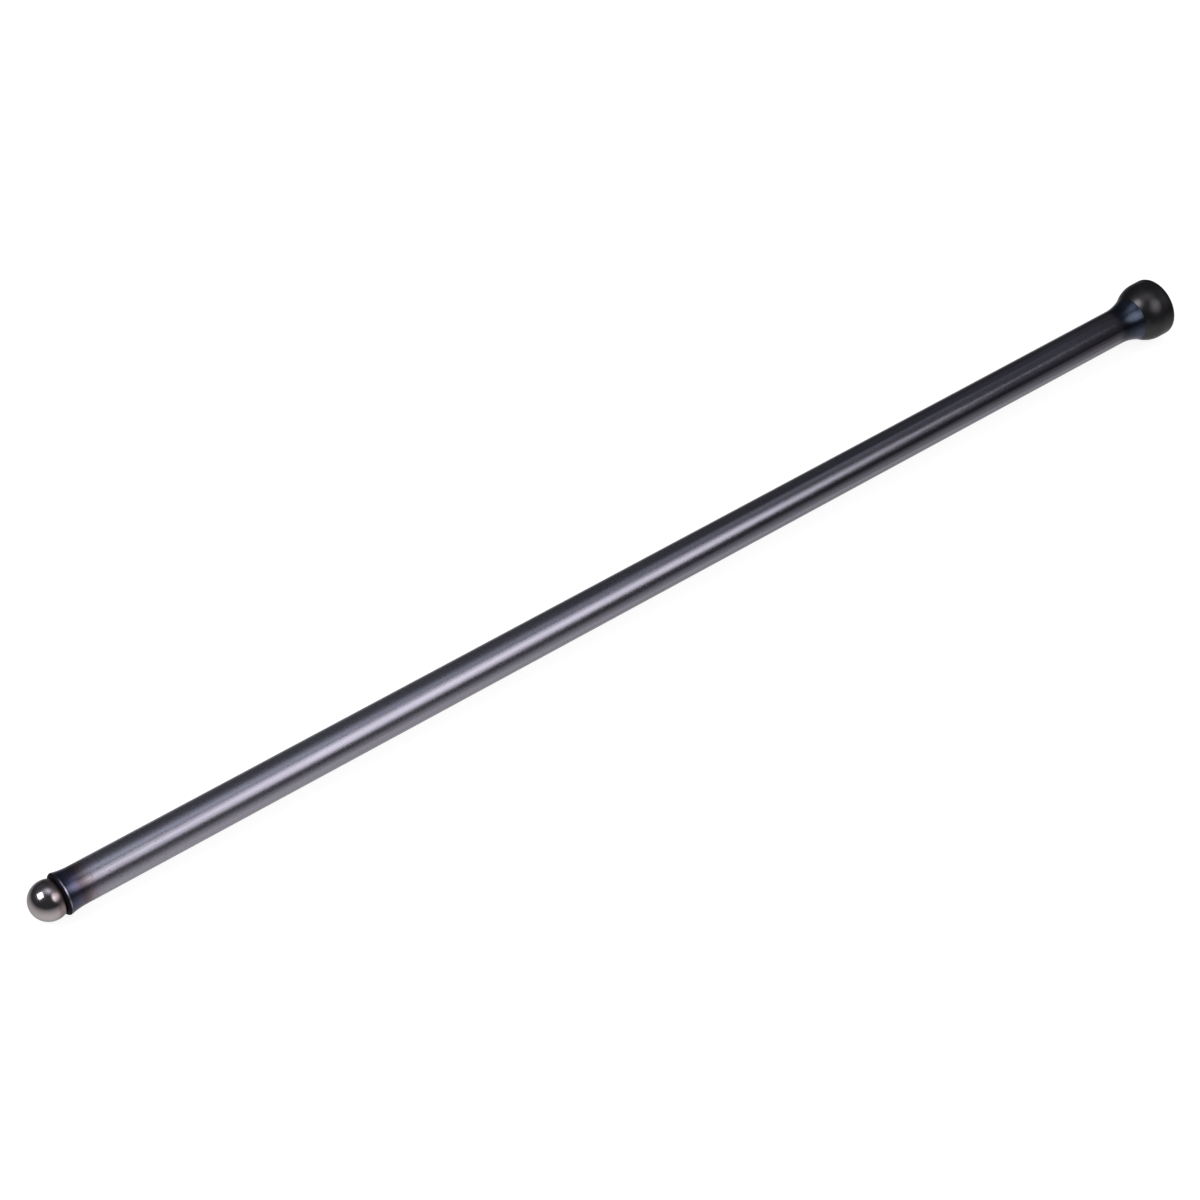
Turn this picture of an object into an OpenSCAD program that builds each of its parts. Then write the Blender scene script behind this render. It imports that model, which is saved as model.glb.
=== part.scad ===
// Engine pushrod: a seamless steel tube with a ball welded to one end and a
// socketed cup welded to the other. The rod lies along X, the ball's centre is
// the origin and the cup opens towards +X.

/* [Tube] */
// Overall length, from the tip of the ball to the rim of the cup
overall_len = 292.4; // [120:0.1:420]
// Outside diameter of the tube
tube_d = 7.94; // [6.6:0.01:9.6]
// Wall of the tube
tube_wall = 2; // [1.2:0.05:2.6]

/* [Ball end] */
// Diameter of the ball
ball_d = 8.12; // [7.4:0.01:10]
// Depth that the ball sinks into the end of the tube
ball_sink = 2.1; // [1.4:0.05:2.4]
// Height of the upset collar over the tube
ball_collar_h = 0.44; // [0.2:0.02:1]
// Length of the collar, from its end face to the plain tube
ball_collar_len = 4.1; // [2.5:0.1:8]
// Rounding of the collar's outer edge
ball_collar_round = 0.6; // [0.2:0.05:0.8]

/* [Cup end] */
// Diameter of the socket that takes a rocker's ball screw
socket_d = 9.6; // [8:0.1:11.5]
// Depth of the socket, from the rim to the bottom of its round floor
socket_depth = 7; // [6.4:0.1:7.8]
// Chamfer around the mouth of the socket
mouth_chamfer = 0.4; // [0.1:0.05:0.5]
// Wall of the cup around the socket
cup_wall = 1.85; // [1.5:0.01:3]
// Straight side of the cup, from the dome to the rim
cup_side_len = 3.3; // [2.4:0.1:6]
// Rounding of the rim's outer edge
rim_round = 1.3; // [0.3:0.05:1.6]
// Depth that the dome of the cup sinks into the end of the tube
cup_sink = 2; // [1.4:0.05:2.6]
// Height of the flared collar over the tube
cup_collar_h = 1.05; // [0.3:0.05:1.6]
// Length of the flare, from its end face to the plain tube
cup_collar_len = 5.3; // [3:0.1:9]
// Rounding of the flare's outer edge
cup_collar_round = 0.2; // [0.1:0.05:0.4]

/* [Welds] */
// Gap between a welded piece and its seat on the tube
seat_gap = 0.02; // [0:0.01:0.05]

/* [Hidden] */
$fn = 96;

tube_r = tube_d / 2;
bore_r = tube_r - tube_wall;
ball_r = ball_d / 2;
socket_r = socket_d / 2;
cup_r = socket_r + cup_wall;

// Flat ring left on the rim between its rounding and the mouth's chamfer
rim_land = 0.1;
rim_edge_r = min(rim_round, cup_wall - mouth_chamfer - rim_land);

// Places along the rod, from the centre of the ball
dome_x = overall_len - ball_r - cup_side_len;
ball_face_x = ball_r - ball_sink;
cup_face_x = dome_x - cup_r + cup_sink;

// Length of the plain tube, which runs into both collars
plain_len = cup_face_x - cup_collar_round - ball_face_x - ball_collar_round;

// Radius of the hollow that is tangent to the tube and meets a collar's edge
function flare_radius(rise, run) = (rise * rise + run * run) / (2 * rise);

// Turns a section about the rod's axis: the section's X is the radius and its
// Y is the place along the rod
module turned() {
  rotate([0, 90, 0])
    rotate_extrude()
      children();
}

// Section of one upset end of the tube, with its end face at 0
module collar_section(height, length, edge) {
  collar_r = tube_r + height;
  flare_r = flare_radius(height, length - edge);
  difference() {
    union() {
      translate([bore_r, 0])
        square([collar_r - edge - bore_r, length]);
      translate([bore_r, edge])
        square([collar_r - bore_r, length - edge]);
      translate([collar_r - edge, edge])
        circle(edge);
    }
    translate([tube_r + flare_r, length])
      circle(flare_r);
  }
}

// Drawn tube, upset at both ends and seated on the ball and on the cup
module tube() {
  color([0.52, 0.51, 0.56])
    turned()
      difference() {
        union() {
          translate([bore_r, ball_face_x + ball_collar_round])
            square([tube_wall, plain_len]);
          translate([0, ball_face_x])
            collar_section(ball_collar_h, ball_collar_len, ball_collar_round);
          translate([0, cup_face_x])
            mirror([0, 1])
              collar_section(cup_collar_h, cup_collar_len, cup_collar_round);
        }
        circle(ball_r + seat_gap);
        translate([0, dome_x])
          circle(cup_r + seat_gap);
      }
}

// Hardened ball that runs in the lifter
module ball_end() {
  color([0.72, 0.71, 0.71])
    sphere(ball_r);
}

// Section of the cup's outside, from the centre of its dome
module cup_blank() {
  intersection() {
    circle(cup_r);
    translate([0, -cup_r])
      square([cup_r, cup_r]);
  }
  square([cup_r, cup_side_len - rim_edge_r]);
  square([cup_r - rim_edge_r, cup_side_len]);
  translate([cup_r - rim_edge_r, cup_side_len - rim_edge_r])
    circle(rim_edge_r);
}

// Section of the socket: a round floor, a straight wall and a chamfered mouth
module socket_cut() {
  translate([0, cup_side_len - socket_depth + socket_r]) {
    circle(socket_r);
    square([socket_r, socket_depth]);
  }
  translate([0, cup_side_len - mouth_chamfer])
    polygon([
      [0, 0],
      [socket_r, 0],
      [socket_r + 2 * mouth_chamfer, 2 * mouth_chamfer],
      [0, 2 * mouth_chamfer]
    ]);
}

// Hardened cup: a domed back, a straight side, a rounded rim and a socket
module cup_end() {
  color([0.16, 0.16, 0.17])
    turned()
      translate([0, dome_x])
        difference() {
          cup_blank();
          socket_cut();
        }
}

tube();
ball_end();
cup_end();
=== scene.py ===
import math

import bmesh
import bpy
from mathutils import Euler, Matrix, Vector, noise


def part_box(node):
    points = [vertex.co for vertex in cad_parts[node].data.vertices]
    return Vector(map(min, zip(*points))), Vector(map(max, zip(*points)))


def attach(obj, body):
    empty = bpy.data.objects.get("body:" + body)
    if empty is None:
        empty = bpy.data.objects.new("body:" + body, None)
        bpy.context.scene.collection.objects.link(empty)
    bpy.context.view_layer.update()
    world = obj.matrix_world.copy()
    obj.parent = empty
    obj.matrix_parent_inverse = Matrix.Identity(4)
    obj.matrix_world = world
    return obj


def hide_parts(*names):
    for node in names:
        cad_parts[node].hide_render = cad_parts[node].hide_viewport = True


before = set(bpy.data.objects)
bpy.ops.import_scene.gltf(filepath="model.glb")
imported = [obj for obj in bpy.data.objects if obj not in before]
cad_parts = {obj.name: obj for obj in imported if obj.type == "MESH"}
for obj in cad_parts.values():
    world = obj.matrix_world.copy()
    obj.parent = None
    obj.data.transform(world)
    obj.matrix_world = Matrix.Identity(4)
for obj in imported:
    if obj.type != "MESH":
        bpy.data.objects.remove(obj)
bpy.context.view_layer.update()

mm = 0.001  # sizes below are real sizes, in metres
scene = bpy.context.scene
scene.view_settings.view_transform = "Standard"

# places along the rod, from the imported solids
tubeLow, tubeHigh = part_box("tube")
cupLow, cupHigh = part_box("cup_end")
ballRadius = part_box("ball_end")[1].x
ballFaceX = tubeLow.x  # end face of the collar at the ball
cupFaceX = tubeHigh.x  # end face of the flare at the cup
cupRadius = cupHigh.z
domeX = cupLow.x + cupRadius  # centre of the cup's domed back
rimX = cupHigh.x


# one socket of a shader tree: sums on it add Math nodes
class Wire:
    def __init__(self, tree, socket=None):
        self.tree = tree
        self.socket = socket

    # any node: its type, its settings and what goes into its sockets
    def node(self, kind, settings, sockets, out=0):
        made = self.tree.nodes.new("ShaderNode" + kind)
        for key, value in settings.items():
            if key == "stops":
                self.setStops(made.color_ramp, value)
            else:
                setattr(made, key, value)
        for key, value in sockets.items():
            if isinstance(value, Wire):
                self.tree.links.new(value.socket, made.inputs[key])
            else:
                made.inputs[key].default_value = value
        if not made.outputs:
            return None
        return Wire(self.tree, made.outputs[out])

    def setStops(self, ramp, stops):
        ends = ramp.elements
        ends[0].position = stops[0][0]
        ends[1].position = stops[-1][0]
        ends[0].color = (*stops[0][1], 1)
        ends[1].color = (*stops[-1][1], 1)
        for position, colour in stops[1:-1]:
            ends.new(position).color = (*colour, 1)

    # another output of the same node
    def out(self, key):
        return Wire(self.tree, self.socket.node.outputs[key])

    def mathNode(self, operation, first, second=0):
        return self.node("Math", {"operation": operation}, {0: first, 1: second})

    def __add__(self, other):
        return self.mathNode("ADD", self, other)

    __radd__ = __add__

    def __sub__(self, other):
        return self.mathNode("SUBTRACT", self, other)

    def __rsub__(self, other):
        return self.mathNode("SUBTRACT", other, self)

    def __mul__(self, other):
        return self.mathNode("MULTIPLY", self, other)

    __rmul__ = __mul__

    def __truediv__(self, other):
        return self.mathNode("DIVIDE", self, other)

    def __rtruediv__(self, other):
        return self.mathNode("DIVIDE", other, self)

    # 0 below low, 1 above high and smooth between
    def rise(self, low, high):
        settings = {"interpolation_type": "SMOOTHSTEP"}
        return self.node("MapRange", settings, {"Value": self, "From Min": low, "From Max": high})

    # mixed with another colour, from a wire or as three numbers
    def blend(self, other, amount, way="MIX"):
        if isinstance(other, tuple):
            other = (*other, 1)
        settings = {"data_type": "RGBA", "blend_type": way}
        return self.node("Mix", settings, {0: amount, 6: self, 7: other}, out=2)

    def tinted(self, colour):
        return self.blend(colour, 1.0, "MULTIPLY")

    def colours(self, stops):
        return self.node("ValToRGB", {"stops": stops}, {"Fac": self})

    def grey(self):
        return self.node("CombineColor", {}, {"Red": self, "Green": self, "Blue": self})

    def vectorNode(self, operation, other=(0, 0, 0), out=0):
        return self.node("VectorMath", {"operation": operation}, {0: self, 1: other}, out)

    def stretched(self, scale):
        return self.vectorNode("MULTIPLY", scale)

    def dot(self, direction):
        return self.vectorNode("DOT_PRODUCT", direction, "Value")

    def part(self, axis):
        return self.node("SeparateXYZ", {}, {0: self}, axis)

    # noise by its scale per metre, one number or three along x, y and z, its detail and roughness
    def mottled(self, scale, detail, roughness):
        where = self
        if isinstance(scale, tuple):
            where = self.stretched(scale)
            scale = 1
        sockets = {"Vector": where, "Scale": scale, "Detail": detail, "Roughness": roughness}
        return self.node("TexNoise", {}, sockets)


# value on its way from the first of two numbers to the second
def between(ends, amount):
    return ends[0] + (ends[1] - ends[0]) * amount


# empty material, with the place of each point in the rod's frame
def newMaterial(name):
    material = bpy.data.materials.new(name)
    material.use_nodes = True
    material.node_tree.nodes.clear()
    tree = Wire(material.node_tree)
    where = tree.node("TexCoord", {}, {}, "Object")
    return material, tree, where


# metal from its colour, roughness and bump height: bright is how much of it is bare metal, not
# oxide film, and aslant how much it still mirrors seen edge-on
def metalShader(tree, look, colour, roughness, bright, height):
    bump = tree.node("Bump", {}, {"Height": height, "Distance": look["bumpDepth"]})
    sockets = {
        "Base Color": colour, "Roughness": roughness, "Metallic": bright,
        "Specular Tint": (look["aslant"],) * 3 + (1,), "Normal": bump,
    }
    shader = tree.node("BsdfPrincipled", {}, sockets)
    tree.node("OutputMaterial", {}, {"Surface": shader})


# camera, placed so that the ball's centre falls on its pixel
view = {
    "frameSize": 1200,  # pixels across the square frame
    "focalLength": 3100,  # in the same pixels
    "sensor": 36,  # millimetres across, as Blender counts them
    "azimuth": -37.645,
    "elevation": 44.13,
    "ballPixel": (48.8, 900.2),
    "ballDepth": 576.1 * mm,  # straight ahead of the lens
}


def placeCamera():
    data = bpy.data.cameras.new("camera")
    data.sensor_width = view["sensor"]
    data.lens = view["sensor"] * view["focalLength"] / view["frameSize"]
    turn = Euler((math.radians(90 - view["elevation"]), 0, math.radians(view["azimuth"])))
    middle = view["frameSize"] / 2
    pixelSize = view["ballDepth"] / view["focalLength"]
    aside = (view["ballPixel"][0] - middle) * pixelSize
    below = (view["ballPixel"][1] - middle) * pixelSize
    camera = bpy.data.objects.new("camera", data)
    camera.rotation_euler = turn
    camera.location = -(turn.to_matrix() @ Vector((aside, -below, -view["ballDepth"])))
    scene.collection.objects.link(camera)
    scene.camera = camera


placeCamera()
print("camera placed")

# how all the turned pieces are meshed
meshing = {
    "samePoint": 0.0005 * mm,  # points of a section nearer than this are one
    "sharpAngle": 28,
}


# points (x, radius) on a round stretch, by angles from +x towards the outside
def arc(centre, radius, start, end, steps):
    points = []
    for step in range(steps + 1):
        angle = math.radians(start + (end - start) * step / steps)
        points.append((centre[0] + radius * math.cos(angle), centre[1] + radius * math.sin(angle)))
    return points


# points on a straight stretch, with both ends
def straight(start, end, steps):
    return [
        (start[0] + (end[0] - start[0]) * step / steps, start[1] + (end[1] - start[1]) * step / steps)
        for step in range(steps + 1)
    ]


# points that round off a corner a little, so that it catches the light
def softened(before, corner, after, steps):
    points = []
    for step in range(steps + 1):
        t = step / steps
        weights = (1 - t) ** 2, 2 * t * (1 - t), t * t
        x = weights[0] * before[0] + weights[1] * corner[0] + weights[2] * after[0]
        radius = weights[0] * before[1] + weights[1] * corner[1] + weights[2] * after[1]
        points.append((x, radius))
    return points


# joins stretches that share their ends
def joined(*stretches):
    section = []
    for stretch in stretches:
        for point in stretch:
            if not section or math.dist(point, section[-1]) > meshing["samePoint"]:
                section.append(point)
    return section


# turns a section about the rod's axis; ripple(x, radius, outward) says how far a point sinks inward
def turned(name, section, segments, closed, ripple=None):
    shape = bmesh.new()
    rings = []
    for x, radius in section:
        ring = []
        for step in range(segments if radius > 0 else 1):  # one point on the axis
            angle = math.tau * step / segments
            outward = Vector((0, math.sin(angle), math.cos(angle)))
            sunk = ripple(x, radius, outward) if ripple else 0
            ring.append(shape.verts.new(Vector((x, 0, 0)) + outward * (radius - sunk)))
        rings.append(ring)
    pairs = list(zip(rings, rings[1:]))
    if closed:
        pairs.append((rings[-1], rings[0]))
    for near, far in pairs:
        for step in range(segments):
            corners = [
                near[step % len(near)], far[step % len(far)],
                far[(step + 1) % len(far)], near[(step + 1) % len(near)],
            ]
            shape.faces.new(list(dict.fromkeys(corners)))  # three of them beside the axis
    bmesh.ops.recalc_face_normals(shape, faces=shape.faces)
    mesh = bpy.data.meshes.new(name)
    shape.to_mesh(mesh)
    shape.free()
    mesh.shade_smooth()
    mesh.set_sharp_from_angle(angle=math.radians(meshing["sharpAngle"]))
    piece = bpy.data.objects.new(name, mesh)
    scene.collection.objects.link(piece)
    return piece


def place(piece, node, material):
    piece.data.materials.append(material)
    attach(piece, "root")
    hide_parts(node)


# tube drawn through a die, which left fine lines along it, upset into a collar at each end and
# tempered there by the welds
tube = {
    "radius": 3.97 * mm,
    "bore": 1.97 * mm,
    "seatGap": 0.02 * mm,  # between the tube and what is welded to it
    "ballCollar": {"height": 0.44 * mm, "length": 4.1 * mm, "edge": 0.6 * mm},
    "cupCollar": {"height": 1.05 * mm, "length": 5.3 * mm, "edge": 0.2 * mm},
    "segments": 176,
    "rows": {
        "plain": 90, "bore": 12, "edge": 14, "ridge": 6, "hollow": 24, "ballSeat": 12, "cupSeat": 16,
    },
    "edgeEnd": 98,  # degrees round the edge, a little short of the ridge
    "ripple": {
        "depth": 0.045 * mm,  # deepest dip round the edge of a collar
        "reach": 2.2 * mm,
        "ballEdge": 0.5 * mm,  # where it is deepest, from the end face at the ball
        "skin": 0.4 * mm,  # what lies deeper in the wall stays
        "cupShare": 0.7,
        "even": 0.5,
        "waves": [
            {"share": 0.38, "round": 2.3, "along": 300, "shift": 0},
            {"share": 0.12, "round": 7.0, "along": 700, "shift": 3},
        ],
    },
    "bare": (0.275, 0.261, 0.302),
    "aslant": 0.75,
    "bright": (0.945, 0.975),  # at the ball and at the cup
    "brightSpan": (60 * mm, 230 * mm),
    "roughness": (0.29, 0.19),  # at the ball and at the cup
    "roughnessSpan": (70 * mm, 260 * mm),
    "shade": (1, 0.63),  # how dark the tube gets on its way to the cup
    "shadeSpan": (30 * mm, 250 * mm),
    # noises: scale per metre along and across the tube, detail, roughness
    "lines": ((22, 5200, 5200), 4, 0.65),
    "hairs": ((130, 16000, 16000), 2, 0.6),
    "streaks": ((5, 1100, 1100), 3, 0.6),
    "grains": ((1900, 4600, 4600), 2, 0.6),
    "clouds": ((60, 260, 260), 3, 0.55),
    "heat": (330, 3, 0.6),
    "pits": (1500, 2, 0.5),
    "grainShade": {
        "least": 0.81, "lines": 0.14, "grains": 0.16, "hairs": 0.08, "contrast": (0.36, 0.64),
    },
    "streakShade": {"depth": (0.1, 0.4), "span": (90 * mm, 220 * mm), "contrast": (0.38, 0.62)},
    "streakEnd": (0.2, 0.32),  # in parts of the tint at the cup
    "pitShade": {"depth": 0.35, "contrast": (0.64, 0.7)},
    "pitStart": (7 * mm, 9 * mm),
    "pitEnd": (14 * mm, 40 * mm),
    "uneven": {"clouds": 0.12, "grains": 0.16},  # what they do to the roughness
    "bump": {"hairs": 0.5, "grains": 0.4},  # as high as this beside the lines
    "bumpDepth": 3.2e-6,
    "dieLineAndPaintedHighlight": [
        {"angle": -10, "reach": 6, "start": 100 * mm, "full": 200 * mm, "gain": 0.55},
        # painted highlight: the right softbox's reflection running on towards the cup
        {"angle": -34, "reach": 8, "start": 195 * mm, "full": 255 * mm, "gain": 0.22},
    ],  # where the die scored it bright, and in the second a painted highlight: the tail of the right softbox's reflection towards the cup
    "dieLineAndHighlightEnd": (268 * mm, 276 * mm),
    # ridge of the collar at the ball, rubbed bright, with a painted highlight on the side where the light
    # glints
    "ridgeRubAndHighlight": {"angle": -46, "reach": 52, "least": 0.12, "colour": (0.38, 0.37, 0.43)},
    "ridgeStart": (0.042, 0.052),  # in parts of the tint at the ball, as the next two
    "ridgeEnd": (0.067, 0.08),
    "scaleEnd": (0.036, 0.052),  # the weld left scale on the end face
    "scaleRoughness": 0.45,
    "bluedEnd": (0.2, 0.26),  # of the flare, in parts of the tint at the cup
    "bluedRoughness": 0.04,
    "bluedFilm": 0.035,
    "tintWander": 1.5 * mm,  # how unevenly the heat ran
    "wanderStart": (0.8 * mm, 2.4 * mm),  # beside the ridge
    "ballTintLength": 10 * mm,
    "ballTint": [
        (0.0, (0.055, 0.056, 0.066)),
        (0.04, (0.07, 0.072, 0.088)),
        (0.085, (0.18, 0.195, 0.27)),
        (0.2, (0.26, 0.275, 0.39)),
        (0.3, (0.33, 0.315, 0.41)),
        (0.37, (0.33, 0.29, 0.33)),
        (0.45, (0.5, 0.42, 0.41)),
        (0.53, (0.72, 0.64, 0.62)),
        (0.68, (0.95, 0.92, 0.93)),
        (0.85, (1, 1, 1)),
    ],
    "cupTintLength": 24 * mm,
    "cupTint": [
        (0.0, (0.235, 0.31, 0.38)),
        (0.06, (0.27, 0.345, 0.425)),
        (0.13, (0.2, 0.255, 0.315)),
        (0.19, (0.155, 0.195, 0.245)),
        (0.235, (0.25, 0.27, 0.3)),
        (0.265, (0.6, 0.57, 0.55)),
        (0.3, (0.8, 0.77, 0.75)),
        (0.52, (0.9, 0.88, 0.87)),
        (0.83, (1, 1, 1)),
    ],
}


# one upset end from its face to the plain tube, as for the ball's end
def collarSection(collar):
    height, length, edge = collar["height"], collar["length"], collar["edge"]
    rows = tube["rows"]
    run = length - edge
    flare = (height * height + run * run) / (2 * height)
    top = tube["radius"] + height
    sweep = math.degrees(math.asin(run / flare))
    rounded = arc((edge, top - edge), edge, 180, tube["edgeEnd"], rows["edge"])
    hollow = arc((length, tube["radius"] + flare), flare, -90 - sweep, -90, rows["hollow"])
    ridge = softened(rounded[-1], (edge, top), hollow[1], rows["ridge"])
    return rounded[:-1] + ridge + hollow[2:]


# how far the edge of a collar sinks at one place round it
def weldRipple(x, radius, outward):
    ripple = tube["ripple"]
    if radius < tube["radius"] - ripple["skin"]:
        return 0
    nearBall = max(0, 1 - abs(x - ballFaceX - ripple["ballEdge"]) / ripple["reach"])
    nearCup = max(0, 1 - abs(x - cupFaceX) / ripple["reach"])
    dip = ripple["even"]
    for wave in ripple["waves"]:
        spot = outward * wave["round"] + Vector((x * wave["along"], wave["shift"], 0))
        dip += wave["share"] * noise.noise(spot)
    return ripple["depth"] * (nearBall + ripple["cupShare"] * nearCup) * min(1, max(0, dip))


def makeTube():
    ballEnd = [(ballFaceX + x, radius) for x, radius in collarSection(tube["ballCollar"])]
    cupEnd = [(cupFaceX - x, radius) for x, radius in reversed(collarSection(tube["cupCollar"]))]
    rows = tube["rows"]
    bore = tube["bore"]
    ballSeat = ballRadius + tube["seatGap"]
    cupSeat = cupRadius + tube["seatGap"]
    ballBoreAngle = math.degrees(math.asin(bore / ballSeat))
    ballFaceAngle = math.degrees(math.acos(ballFaceX / ballSeat))
    cupFaceAngle = 180 - math.degrees(math.acos((domeX - cupFaceX) / cupSeat))
    cupBoreAngle = 180 - math.degrees(math.asin(bore / cupSeat))
    ballHollow = arc((0, 0), ballSeat, ballBoreAngle, ballFaceAngle, rows["ballSeat"])
    cupHollow = arc((domeX, 0), cupSeat, cupFaceAngle, cupBoreAngle, rows["cupSeat"])
    section = joined(
        ballHollow,
        ballEnd,
        straight(ballEnd[-1], cupEnd[0], rows["plain"]),
        cupEnd,
        cupHollow,
        straight(cupHollow[-1], ballHollow[0], rows["bore"])[:-1],
    )
    return turned("drawn_tube", section, tube["segments"], True, weldRipple)


# 1 where the tube faces an angle, from the top towards +Y, and 0 from reach degrees off it
def facing(where, angle, reach):
    turn = math.radians(angle)
    outward = where.stretched((0, 1, 1)).vectorNode("NORMALIZE")
    return outward.dot((0, math.sin(turn), math.cos(turn))).rise(math.cos(math.radians(reach)), 1)


def drawnSteelFinish():
    material, tree, where = newMaterial("drawn_steel_finish")
    along = where.part("X")
    lines = where.mottled(*tube["lines"])
    hairs = where.mottled(*tube["hairs"])
    streaks = where.mottled(*tube["streaks"])
    grains = where.mottled(*tube["grains"])
    clouds = where.mottled(*tube["clouds"])
    wander = (where.mottled(*tube["heat"]) - 0.5) * tube["tintWander"]
    wander = wander * (along - ballFaceX).rise(*tube["wanderStart"])
    fromBall = (along - ballFaceX + wander) / tube["ballTintLength"]
    fromCup = (cupFaceX - along + wander) / tube["cupTintLength"]

    # how light it is by its grain, its streaks, a scored line, a painted highlight line towards the cup and
    # the pits
    share = tube["grainShade"]
    grain = share["least"] + share["lines"] * lines.rise(*share["contrast"])
    grain = grain + share["grains"] * grains.rise(*share["contrast"]) + share["hairs"] * hairs
    share = tube["streakShade"]
    streaked = along.rise(*share["span"]) * fromCup.rise(*tube["streakEnd"])
    streak = 1 + between(share["depth"], streaked) * (streaks.rise(*share["contrast"]) - 0.5)
    burnishAndHighlight = 1
    lineEnd = 1 - along.rise(*tube["dieLineAndHighlightEnd"])
    # the first line is scored by the die, the second is a painted highlight
    for line in tube["dieLineAndPaintedHighlight"]:
        lineReach = along.rise(line["start"], line["full"]) * lineEnd
        burnishAndHighlight = burnishAndHighlight + line["gain"] * facing(where, line["angle"], line["reach"]) * lineReach
    share = tube["pitShade"]
    pits = where.mottled(*tube["pits"]).rise(*share["contrast"])
    pits = pits * along.rise(*tube["pitStart"]) * (1 - along.rise(*tube["pitEnd"]))
    shade = between(tube["shade"], along.rise(*tube["shadeSpan"]))
    shade = shade * grain * streak * burnishAndHighlight * (1 - share["depth"] * pits)

    colour = shade.grey().tinted(tube["bare"])
    colour = colour.tinted(fromBall.colours(tube["ballTint"])).tinted(fromCup.colours(tube["cupTint"]))
    # rubbed ridge, brightest on one side as a painted highlight of the softbox's glint
    rubAndHighlight = tube["ridgeRubAndHighlight"]
    onRidge = fromBall.rise(*tube["ridgeStart"]) * (1 - fromBall.rise(*tube["ridgeEnd"]))
    rubbedAndLit = onRidge * between((rubAndHighlight["least"], 1), facing(where, rubAndHighlight["angle"], rubAndHighlight["reach"]))
    colour = colour.blend(rubAndHighlight["colour"], rubbedAndLit)

    scaled = 1 - fromBall.rise(*tube["scaleEnd"])
    blued = 1 - fromCup.rise(*tube["bluedEnd"])
    uneven = tube["uneven"]
    roughness = between(tube["roughness"], along.rise(*tube["roughnessSpan"]))
    roughness = roughness + uneven["clouds"] * (clouds - 0.5) + uneven["grains"] * (grains - 0.5)
    roughness = roughness + tube["scaleRoughness"] * scaled + tube["bluedRoughness"] * blued
    bright = between(tube["bright"], along.rise(*tube["brightSpan"])) - tube["bluedFilm"] * blued
    height = lines + tube["bump"]["hairs"] * hairs + tube["bump"]["grains"] * grains
    metalShader(tree, tube, colour, roughness, bright, height)
    return material


place(makeTube(), "tube", drawnSteelFinish())
print("tube made")

# hardened and polished ball, browned beside its weld, with painted shade deepening that ring
ball = {
    "segments": 160,
    "rows": 96,
    "colour": (0.385, 0.348, 0.348),
    "aslant": 0.6,
    "bright": 1.0,
    "roughness": (0.165, 0.3),  # bare and beside the weld
    "roughnessSpan": (0.3, 0.6),  # in parts of the browned ring
    # noises: scale per metre, detail, roughness
    "swirls": ((9000, 1500, 1500), 3, 0.6),
    "clouds": (420, 3, 0.5),
    "heat": (700, 2, 0.5),
    "cloudShade": (0.9, 1.1),
    "uneven": {"clouds": 0.05, "swirls": 0.05},  # what they do to the roughness
    "bumpDepth": 4e-7,
    "tintWander": 0.5 * mm,
    "tintLength": 3.2 * mm,  # of the browned ring
    # browning beside the weld, deepened further as painted shade that dims the right softbox's highlight
    "seatTintAndShade": [
        (0.0, (1, 1, 1)),
        (0.3, (0.95, 0.92, 0.92)),
        (0.46, (0.72, 0.65, 0.67)),
        (0.54, (0.64, 0.57, 0.58)),
        (0.7, (0.7, 0.61, 0.62)),
        (0.86, (0.62, 0.52, 0.52)),
        (1.0, (0.4, 0.33, 0.35)),
    ],
}


def makeBall():
    section = arc((0, 0), ballRadius, 180, 0, ball["rows"])
    section[0] = (-ballRadius, 0)
    section[-1] = (ballRadius, 0)
    return turned("hardened_ball", section, ball["segments"], False)


def polishedSteelFinish():
    material, tree, where = newMaterial("polished_steel_finish")
    swirls = where.mottled(*ball["swirls"])
    clouds = where.mottled(*ball["clouds"])
    wander = (where.mottled(*ball["heat"]) - 0.5) * ball["tintWander"]
    ringStart = ballFaceX - ball["tintLength"]
    heated = (where.part("X") - ringStart + wander) / ball["tintLength"]
    colour = between(ball["cloudShade"], clouds).grey().tinted(ball["colour"])
    # browned ring, partly painted shade over the softbox's highlight
    colour = colour.tinted(heated.colours(ball["seatTintAndShade"]))
    uneven = ball["uneven"]
    roughness = between(ball["roughness"], heated.rise(*ball["roughnessSpan"]))
    roughness = roughness + uneven["clouds"] * (clouds - 0.5) + uneven["swirls"] * (swirls - 0.5)
    metalShader(tree, ball, colour, roughness, ball["bright"], swirls)
    return material


place(makeBall(), "ball_end", polishedSteelFinish())
print("ball made")

# hardened and blackened cup, with the socket for a rocker's ball screw
cup = {
    "socketRadius": 4.8 * mm,
    "socketDepth": 7 * mm,
    "mouthChamfer": 0.4 * mm,
    "rimRound": 1.3 * mm,
    "segments": 176,
    "rows": {"dome": 48, "side": 4, "rim": 16, "land": 1, "chamfer": 2, "wall": 3, "floor": 40},
    "colour": (0.046, 0.0431, 0.0449),
    "aslant": 0.65,
    "bright": 0.87,
    "roughness": 0.33,
    # noises: scale per metre, detail, roughness
    "blotches": (520, 4, 0.6),
    "specks": (5200, 2, 0.6),
    "turning": ((14000, 900, 900), 2, 0.5),
    "blotchShade": (0.72, 1.28),
    "uneven": {"blotches": 0.14, "specks": 0.06},  # what they do to the roughness
    "speckBump": 0.6,
    "bumpDepth": 1.6e-6,
    "worn": (0.13, 0.125, 0.125),  # where the black has rubbed thin
    "rimWear": {"most": 0.6, "span": (-0.35 * mm, -0.05 * mm), "contrast": (0.4, 0.62)},
    "speckWear": {"most": 0.12, "contrast": (0.66, 0.74)},
    "socketColour": (0.2, 0.19, 0.185),
    "socketBare": 0.9,
    "socketPolish": 0.14,
    "socketStart": (-4.2 * mm, -3.6 * mm),  # from the dome's centre
    "socketEdge": (0.04 * mm, 0.15 * mm),  # past the socket's wall
}


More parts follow.
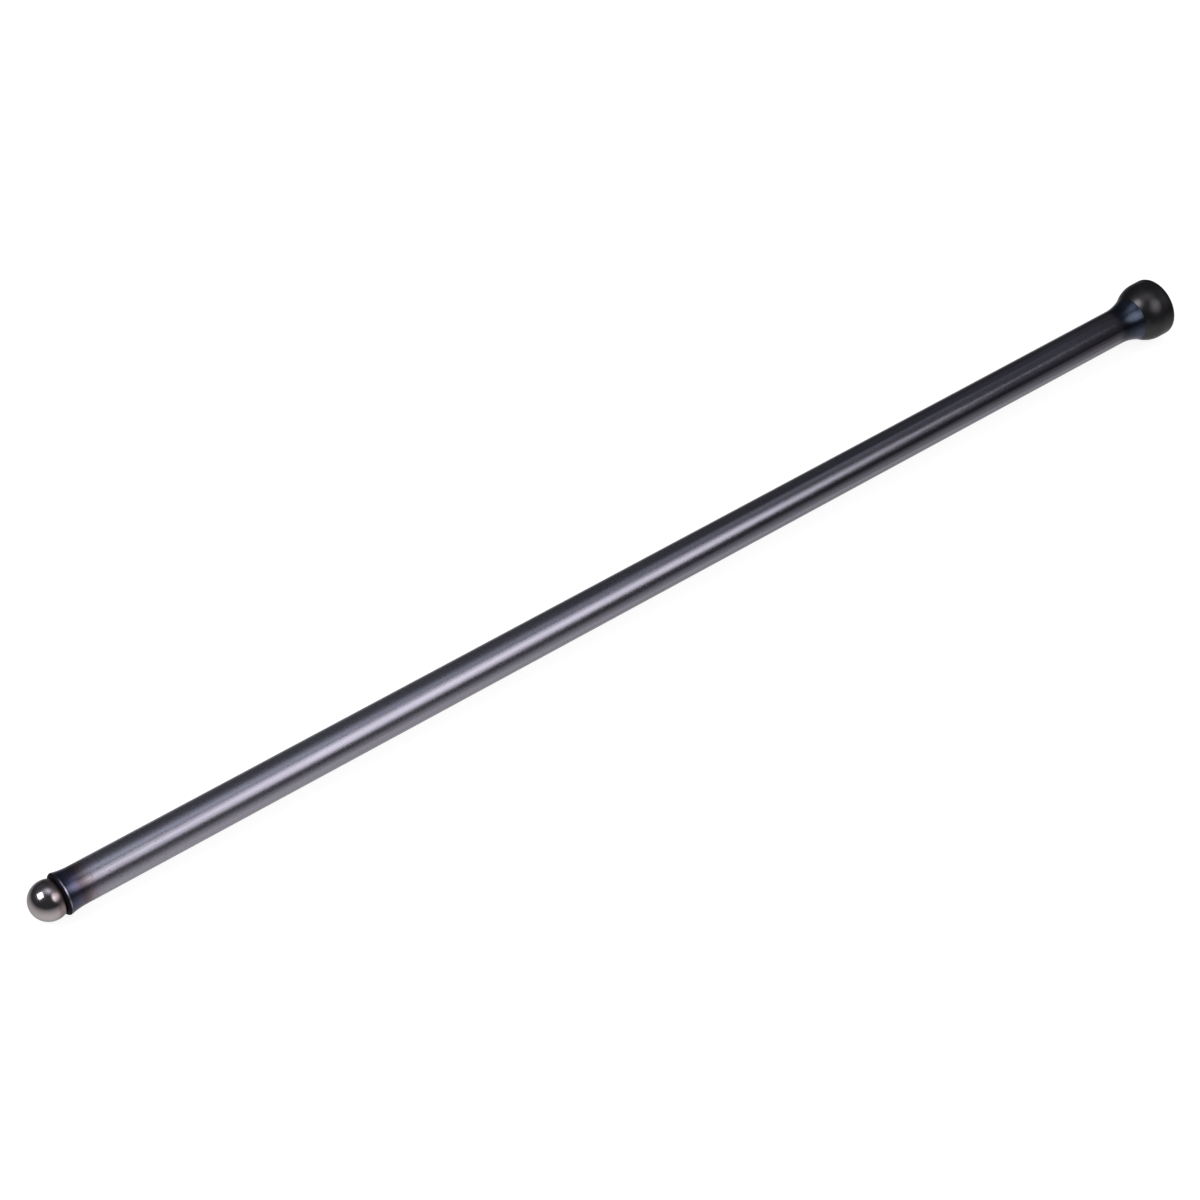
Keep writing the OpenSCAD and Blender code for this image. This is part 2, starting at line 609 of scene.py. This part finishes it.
def makeCup():
    rows = cup["rows"]
    rim = cup["rimRound"]
    socket = cup["socketRadius"]
    chamfer = cup["mouthChamfer"]
    floorX = rimX - cup["socketDepth"] + socket
    dome = arc((domeX, 0), cupRadius, 180, 90, rows["dome"])
    dome[0] = (domeX - cupRadius, 0)
    floor = arc((floorX, 0), socket, 90, 180, rows["floor"])
    floor[-1] = (floorX - socket, 0)
    section = joined(
        dome,
        straight((domeX, cupRadius), (rimX - rim, cupRadius), rows["side"]),
        arc((rimX - rim, cupRadius - rim), rim, 90, 0, rows["rim"]),
        straight((rimX, cupRadius - rim), (rimX, socket + chamfer), rows["land"]),
        straight((rimX, socket + chamfer), (rimX - chamfer, socket), rows["chamfer"]),
        straight((rimX - chamfer, socket), (floorX, socket), rows["wall"]),
        floor,
    )
    return turned("socket_cup", section, cup["segments"], False)


def blackSteelFinish():
    material, tree, where = newMaterial("black_steel_finish")
    along = where.part("X")
    radius = where.stretched((0, 1, 1)).vectorNode("LENGTH", out="Value")
    blotches = where.mottled(*cup["blotches"])
    specks = where.mottled(*cup["specks"])
    turning = where.mottled(*cup["turning"])
    inSocket = (along - domeX).rise(*cup["socketStart"])
    inSocket = inSocket * (1 - (radius - cup["socketRadius"]).rise(*cup["socketEdge"]))
    rimWear = cup["rimWear"]
    speckWear = cup["speckWear"]
    worn = (along - rimX).rise(*rimWear["span"]) * blotches.rise(*rimWear["contrast"]) * rimWear["most"]
    worn = worn + specks.rise(*speckWear["contrast"]) * speckWear["most"]
    colour = between(cup["blotchShade"], blotches).grey().tinted(cup["colour"])
    colour = colour.blend(cup["worn"], worn)
    colour = colour.blend(cup["socketColour"], inSocket * cup["socketBare"])
    uneven = cup["uneven"]
    roughness = cup["roughness"] + uneven["blotches"] * (blotches - 0.5) + uneven["specks"] * (specks - 0.5)
    roughness = roughness - cup["socketPolish"] * inSocket
    metalShader(tree, cup, colour, roughness, cup["bright"], turning + cup["speckBump"] * specks)
    return material


place(makeCup(), "cup_end", blackSteelFinish())
print("cup made")

# white table that the rod lies on, touching its collar and its cup
table = {
    "size": 24,
    "colour": 0.25,
    "glow": 0.9,
    "mirrored": [
        (0.03, 0.0), (0.14, 0.14), (0.31, 0.43), (0.48, 0.64), (0.66, 0.81), (0.8, 0.9),
    ],  # how it fades in the metal towards its horizon
    "cupEndFade": 0.065,  # how much sooner it fades by the cup
    "fadeSpan": (60 * mm, 250 * mm),
}


def tableFinish():
    material, tree, where = newMaterial("table_white")
    path = tree.node("LightPath", {}, {}, "Is Camera Ray")
    steepness = 1 - tree.node("LayerWeight", {}, {"Blend": 0.5}, "Facing")
    steepness = steepness - table["cupEndFade"] * where.part("X").rise(*table["fadeSpan"])
    mirrored = steepness.colours([(sine, (level,) * 3) for sine, level in table["mirrored"]])
    seen = tree.mathNode("MAXIMUM", path, path.out("Is Glossy Ray") * mirrored)
    seen = tree.mathNode("MAXIMUM", seen, path.out("Is Transmission Ray"))
    paper = tree.node("BsdfDiffuse", {}, {"Color": (table["colour"],) * 3 + (1,)})
    glow = tree.node("Emission", {}, {"Color": (seen * table["glow"]).grey()})
    both = tree.node("AddShader", {}, {0: paper, 1: glow})
    tree.node("OutputMaterial", {}, {"Surface": both})
    return material


def makeTable():
    collarX = ballFaceX + tube["ballCollar"]["edge"]
    collarRadius = tube["radius"] + tube["ballCollar"]["height"]
    slope = math.atan((cupRadius - collarRadius) / (domeX - collarX))
    half = table["size"] / 2
    mesh = bpy.data.meshes.new("table")
    corners = [(-half, -half, 0), (half, -half, 0), (half, half, 0), (-half, half, 0)]
    mesh.from_pydata(corners, [], [(0, 1, 2, 3)])
    mesh.materials.append(tableFinish())
    floor = bpy.data.objects.new("table", mesh)
    floor.rotation_euler = (0, slope, 0)
    floor.location = (collarX, 0, -collarRadius)
    scene.collection.objects.link(floor)


makeTable()
print("table laid")

# studio: a dark room with a pale panel overhead, a softbox on each side and a lamp in the right one
studio = {
    "roomSize": 9.0,
    "roomFacets": 4,
    "roomColour": (0.8, 0.865, 0.985),
    "paleSide": (45, 58),  # azimuth and elevation where the room is palest
    "roomGlow": [(0.0, 0.065), (0.5, 0.08), (0.8, 0.12), (1.0, 0.14)],  # towards its pale side
    "panel": {
        "azimuth": 62, "elevation": 79.5, "away": 3.5,
        "turn": 131,  # azimuth of its long side
        "reach": (2.65, 1.75),  # from its middle to where it fades into the room
        "fade": [(0.0, 1.75), (0.25, 1.3), (0.5, 0.67), (0.75, 0.31), (1.0, 0.13)],
    },
    "softboxes": [
        {"name": "left_softbox", "shape": "RECTANGLE", "azimuth": -71, "elevation": 52.5, "away": 3.0,
         "tilt": 0, "size": (1.42, 1.32), "glow": 9.3, "colour": (1, 0.985, 1)},
        {"name": "right_softbox", "shape": "ELLIPSE", "azimuth": 145.7, "elevation": 44.0, "away": 0.9,
         "tilt": -45, "size": (0.6, 0.75), "glow": 2.0, "colour": (0.97, 0.965, 1)},
        {"name": "right_lamp", "shape": "ELLIPSE", "azimuth": 139.5, "elevation": 42.8, "away": 0.88,
         "tilt": -27, "size": (0.5, 0.26), "glow": 1.15, "colour": (0.97, 0.965, 1)},
    ],
}


# direction on the studio's dome: azimuth from +Y towards +X
def towards(azimuth, elevation):
    turn, lift = math.radians(azimuth), math.radians(elevation)
    return Vector((math.sin(turn) * math.cos(lift), math.cos(turn) * math.cos(lift), math.sin(lift)))


def addSoftbox(box):
    data = bpy.data.lights.new(box["name"], "AREA")
    data.shape = box["shape"]
    data.size, data.size_y = box["size"]
    fill = math.pi / 4 if box["shape"] == "ELLIPSE" else 1
    area = data.size * data.size_y * fill
    data.energy = math.pi * area * box["glow"]
    data.color = box["colour"]
    lamp = bpy.data.objects.new(box["name"], data)
    lamp.location = towards(box["azimuth"], box["elevation"]) * box["away"]
    aim = (-lamp.location).to_track_quat("-Z", "Y")
    tilt = Euler((0, 0, math.radians(box["tilt"]))).to_quaternion()
    lamp.rotation_euler = (aim @ tilt).to_euler()
    lamp.visible_camera = False
    scene.collection.objects.link(lamp)


# things round the rod that only its metal shows
def addAround(name, shape, tree, material, colour):
    wall = tree.node("Emission", {}, {"Color": colour})
    tree.node("OutputMaterial", {}, {"Surface": wall})
    material.cycles.emission_sampling = "NONE"  # dim and wide, so it needs no aiming at
    mesh = bpy.data.meshes.new(name)
    shape.to_mesh(mesh)
    shape.free()
    mesh.materials.append(material)
    around = bpy.data.objects.new(name, mesh)
    around.visible_camera = False
    scene.collection.objects.link(around)


# light by how far along its levels a point is; the ramp holds half of each, as its colours end at 1
def roomLight(amount, levels):
    halves = [(part, (level / 2,) * 3) for part, level in levels]
    return (amount.colours(halves) * 2).grey().tinted(studio["roomColour"])


def makeRoom():
    material, tree, where = newMaterial("unlit_room")
    shape = bmesh.new()
    bmesh.ops.create_icosphere(shape, subdivisions=studio["roomFacets"], radius=studio["roomSize"])
    paleness = where.dot(towards(*studio["paleSide"]) / studio["roomSize"])
    addAround("room", shape, tree, material, roomLight(paleness, studio["roomGlow"]))


def makePanel():
    panel = studio["panel"]
    outward = towards(panel["azimuth"], panel["elevation"])
    middle = outward * panel["away"]
    aside = towards(panel["turn"], 0)
    aside = (aside - outward * aside.dot(outward)).normalized()
    ahead = outward.cross(aside)
    reach = panel["reach"]

    material, tree, where = newMaterial("pale_panel")
    offset = where.vectorNode("SUBTRACT", middle)
    sideways = offset.dot(aside) / reach[0]
    lengthways = offset.dot(ahead) / reach[1]
    distance = tree.mathNode("SQRT", sideways * sideways + lengthways * lengthways)
    shape = bmesh.new()
    signs = (-1, -1), (1, -1), (1, 1), (-1, 1)
    corners = [middle + aside * (reach[0] * a) + ahead * (reach[1] * b) for a, b in signs]
    shape.faces.new([shape.verts.new(corner) for corner in corners])
    addAround("panel", shape, tree, material, roomLight(distance, panel["fade"]))


def setWorld():
    world = bpy.data.worlds.new("studio_white")
    world.use_nodes = True
    world.node_tree.nodes["Background"].inputs["Color"].default_value = (1, 1, 1, 1)
    scene.world = world


makeRoom()
makePanel()
setWorld()
for box in studio["softboxes"]:
    addSoftbox(box)
print("studio lit")

bpy.context.view_layer.update()
